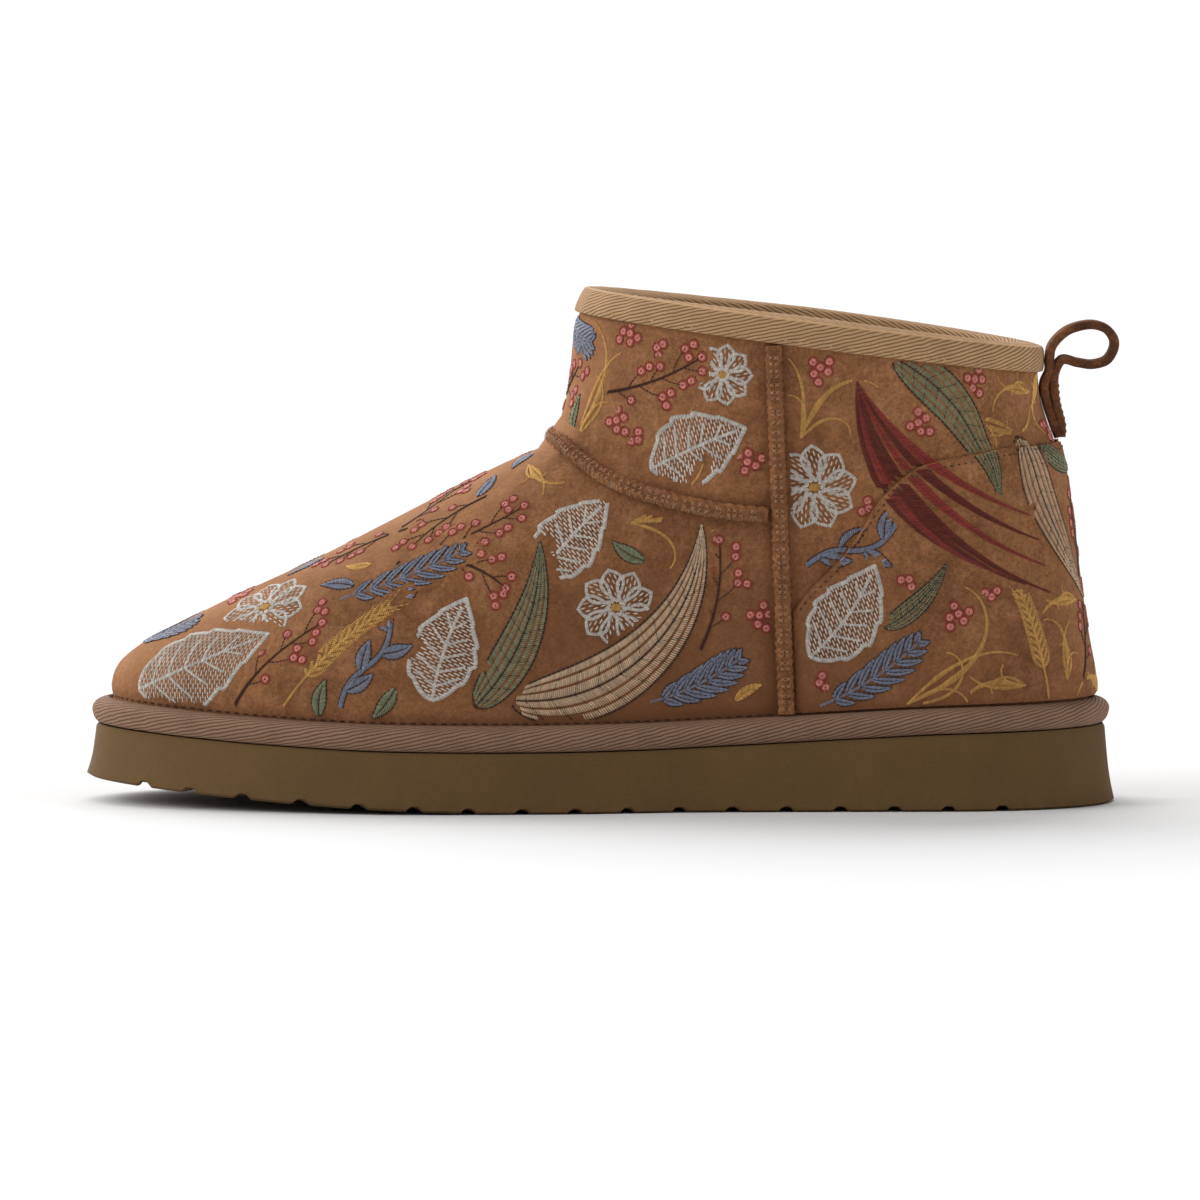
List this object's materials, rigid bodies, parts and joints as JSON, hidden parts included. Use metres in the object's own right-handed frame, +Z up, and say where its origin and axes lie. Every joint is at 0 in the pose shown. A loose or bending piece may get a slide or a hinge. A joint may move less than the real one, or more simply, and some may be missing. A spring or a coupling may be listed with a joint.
{
  "type": "fur-lined boot",
  "caption": "Low pull-on sheepskin boot for a left foot, with fleece lining, taped collar and rim, raised seams, heel overlay, pull loop and a foam wedge outsole.",
  "frame": {"origin": "on the floor under the middle of the bounding box", "axes": "toe towards -X, heel towards +X, outer side of the foot towards -Y, +Z up; the boot stands on z = 0"},
  "size_m": [0.296, 0.108, 0.1471],
  "materials": {
    "suede": "matte",
    "suede_trim": "matte",
    "fleece": "matte",
    "collar_tape": "matte",
    "rim_tape": "matte",
    "foam": "matte"
  },
  "bodies": {
    "root": {"outsole": "foam", "upper": "suede", "fleece_lining": "fleece", "insole": "fleece", "rim_tape": "rim_tape", "collar_tape": "collar_tape", "heel_counter": "suede", "side_seam_outer": "suede_trim", "side_seam_inner": "suede_trim", "instep_seam": "suede_trim", "pull_loop": "suede_trim"}
  },
  "joints": []
}
